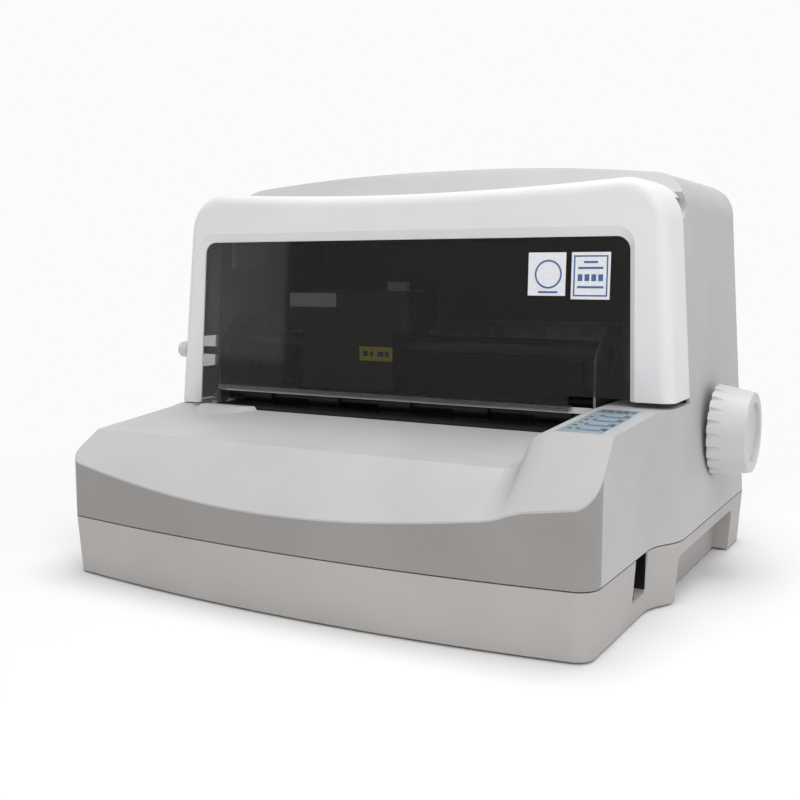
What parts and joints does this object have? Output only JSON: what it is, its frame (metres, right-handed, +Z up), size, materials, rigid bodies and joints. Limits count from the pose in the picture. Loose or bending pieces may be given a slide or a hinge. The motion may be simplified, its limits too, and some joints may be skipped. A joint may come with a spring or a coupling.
{
  "type": "dot matrix printer",
  "caption": "Flatbed impact printer with a hinged windowed front cover, a side feed knob, a sliding print carriage and a low front paper table.",
  "frame": {"origin": "on the surface the printer stands on, under the middle of its overall box", "axes": "+X to the operator's right, along the carriage's travel; +Y to the rear; +Z up"},
  "size_m": [0.4172, 0.3314, 0.275],
  "materials": {
    "case_white": "fine moulded texture",
    "cover_white": "fine moulded texture",
    "band_grey": "fine moulded texture",
    "casing_grey": "fine moulded texture",
    "smoked_pane": "smoked, polished",
    "sticker_white": "coated paper",
    "panel_blue": "printed film",
    "lens_green": "clear tinted",
    "button_grey": "satin",
    "board_green": "solder mask",
    "chip_black": "moulded",
    "foot_rubber": "matt",
    "roller_rubber": "ground",
    "screw_steel": "zinc plated",
    "frame_steel": "galvanised sheet",
    "strip_steel": "bright rolled",
    "shaft_steel": "ground",
    "guide_black": "moulded",
    "bearing_white": "self-lubricating",
    "gear_white": "self-lubricating",
    "motor_black": "satin black",
    "carriage_black": "moulded",
    "head_metal": "black anodised",
    "ribbon_black": "moulded",
    "knob_white": "fine moulded texture",
    "label_yellow": "coated paper",
    "plate_grey": "printed film",
    "belt_rubber": "toothed",
    "pulley_metal": "turned",
    "switch_black": "moulded",
    "core_iron": "varnished laminations"
  },
  "bodies": {
    "printer": {"lower_case": "casing_grey", "upper_case": "case_white", "front_band": "band_grey", "cover_hinge_pins": "shaft_steel", "panel_film": "panel_blue", "indicator_lenses": "lens_green", "panel_board": "board_green", "rubber_feet": "foot_rubber", "case_screws": "screw_steel", "switch_body": "switch_black", "base_plate": "frame_steel", "left_side_frame": "frame_steel", "right_side_frame": "frame_steel", "frame_studs": "shaft_steel", "feed_bushes": "bearing_white", "rear_tie_bar": "frame_steel", "guide_strip": "strip_steel", "paper_guide": "guide_black", "print_bed": "frame_steel", "bed_rubber": "roller_rubber", "feed_motor": "motor_black", "carriage_shaft": "shaft_steel", "timing_belt": "belt_rubber", "belt_motor": "motor_black", "belt_brackets": "frame_steel", "main_board": "board_green", "board_chips": "chip_black", "supply_tray": "frame_steel", "transformer": "core_iron", "mains_inlet": "switch_black", "interface_ports": "switch_black"},
    "front_cover": {"front_cover": "cover_white", "cover_window": "smoked_pane", "window_stickers": "sticker_white"},
    "rear_feed": {"rear_feed_shaft": "shaft_steel", "rear_feed_rollers": "roller_rubber", "rear_feed_gear": "gear_white", "feed_knob": "knob_white"},
    "front_feed": {"front_feed_shaft": "shaft_steel", "front_feed_rollers": "roller_rubber", "front_feed_gear": "gear_white"},
    "idler": {"idler_gear": "gear_white"},
    "pinion": {"motor_pinion": "pulley_metal"},
    "rear_pinch": {"rear_pinch_rollers": "guide_black"},
    "front_pinch": {"front_pinch_rollers": "guide_black"},
    "print_carriage": {"carriage": "carriage_black", "print_head": "head_metal", "ribbon_cartridge": "ribbon_black", "carriage_label": "label_yellow", "name_plate": "plate_grey"},
    "ribbon_winder": {"ribbon_knob": "knob_white"},
    "belt_drive": {"motor_pulley": "pulley_metal"},
    "belt_idler": {"idler_pulley": "pulley_metal"},
    "gap_lever": {"gap_lever": "frame_steel", "lever_knob": "knob_white"},
    "power_rocker": {"power_rocker": "switch_black"},
    "button_1": {"panel_button_1": "button_grey"},
    "button_2": {"panel_button_2": "button_grey"},
    "button_3": {"panel_button_3": "button_grey"},
    "button_4": {"panel_button_4": "button_grey"}
  },
  "joints": [
    {"name": "cover_hinge", "type": "hinge", "parent": "printer", "child": "front_cover", "pos_m": [-0.00978, 0.00625, 0.2475], "axis": [-1, 0, 0], "range_deg": [0, 70]},
    {"name": "knob_turn", "type": "hinge", "parent": "printer", "child": "rear_feed", "pos_m": [-0.00978, 0.06325, 0.0965], "axis": [1, 0, 0], "continuous": true},
    {"name": "front_feed_turn", "type": "hinge", "parent": "printer", "child": "front_feed", "pos_m": [-0.00978, -0.00775, 0.0965], "axis": [1, 0, 0], "continuous": true},
    {"name": "idler_turn", "type": "hinge", "parent": "printer", "child": "idler", "pos_m": [-0.00978, 0.02775, 0.0965], "axis": [1, 0, 0], "continuous": true},
    {"name": "pinion_turn", "type": "hinge", "parent": "printer", "child": "pinion", "pos_m": [-0.00978, 0.02775, 0.06668], "axis": [1, 0, 0], "continuous": true},
    {"name": "rear_pinch_turn", "type": "hinge", "parent": "printer", "child": "rear_pinch", "pos_m": [-0.00978, 0.06325, 0.1088], "axis": [1, 0, 0], "continuous": true},
    {"name": "front_pinch_turn", "type": "hinge", "parent": "printer", "child": "front_pinch", "pos_m": [-0.00978, -0.00775, 0.1088], "axis": [1, 0, 0], "continuous": true},
    {"name": "carriage_slide", "type": "slide", "parent": "printer", "child": "print_carriage", "axis": [1, 0, 0], "range_m": [-0.048, 0.124]},
    {"name": "ribbon_turn", "type": "hinge", "parent": "print_carriage", "child": "ribbon_winder", "pos_m": [-0.03178, 0.01225, 0.188], "axis": [0, 0, 1], "continuous": true},
    {"name": "belt_drive_turn", "type": "hinge", "parent": "printer", "child": "belt_drive", "pos_m": [0.10822, 0.06225, 0.15], "axis": [0, 0, 1], "range_deg": [-329.8, 836.1]},
    {"name": "belt_idler_turn", "type": "hinge", "parent": "printer", "child": "belt_idler", "pos_m": [-0.15178, 0.06225, 0.15], "axis": [0, 0, 1], "range_deg": [-329.8, 836.1]},
    {"name": "gap_lever_turn", "type": "hinge", "parent": "printer", "child": "gap_lever", "pos_m": [-0.17468, 0.01825, 0.13], "axis": [1, 0, 0], "range_deg": [-7, 7]},
    {"name": "power_rocker_tilt", "type": "hinge", "parent": "printer", "child": "power_rocker", "pos_m": [0.15922, -0.06725, 0.02755], "axis": [0, 1, 0], "range_deg": [0, 12]},
    {"name": "button_1_press", "type": "slide", "parent": "printer", "child": "button_1", "axis": [0, 0.0416, -0.9991], "range_m": [0, 0.0008], "stiffness_N_per_m": 300, "springref_m": -0.0005},
    {"name": "button_2_press", "type": "slide", "parent": "printer", "child": "button_2", "axis": [0, 0.0416, -0.9991], "range_m": [0, 0.0008], "stiffness_N_per_m": 300, "springref_m": -0.0005},
    {"name": "button_3_press", "type": "slide", "parent": "printer", "child": "button_3", "axis": [0, 0.0416, -0.9991], "range_m": [0, 0.0008], "stiffness_N_per_m": 300, "springref_m": -0.0005},
    {"name": "button_4_press", "type": "slide", "parent": "printer", "child": "button_4", "axis": [0, 0.0416, -0.9991], "range_m": [0, 0.0008], "stiffness_N_per_m": 300, "springref_m": -0.0005}
  ],
  "couplings": [
    {"joint": "front_feed_turn", "follows": "knob_turn", "ratio": 1},
    {"joint": "idler_turn", "follows": "knob_turn", "ratio": -0.66667},
    {"joint": "pinion_turn", "follows": "knob_turn", "ratio": 1.6667},
    {"joint": "rear_pinch_turn", "follows": "knob_turn", "ratio": -1.4},
    {"joint": "front_pinch_turn", "follows": "knob_turn", "ratio": -1.4},
    {"joint": "belt_drive_turn", "follows": "carriage_slide", "rad_per_m": 116.28},
    {"joint": "belt_idler_turn", "follows": "carriage_slide", "rad_per_m": 116.28}
  ]
}
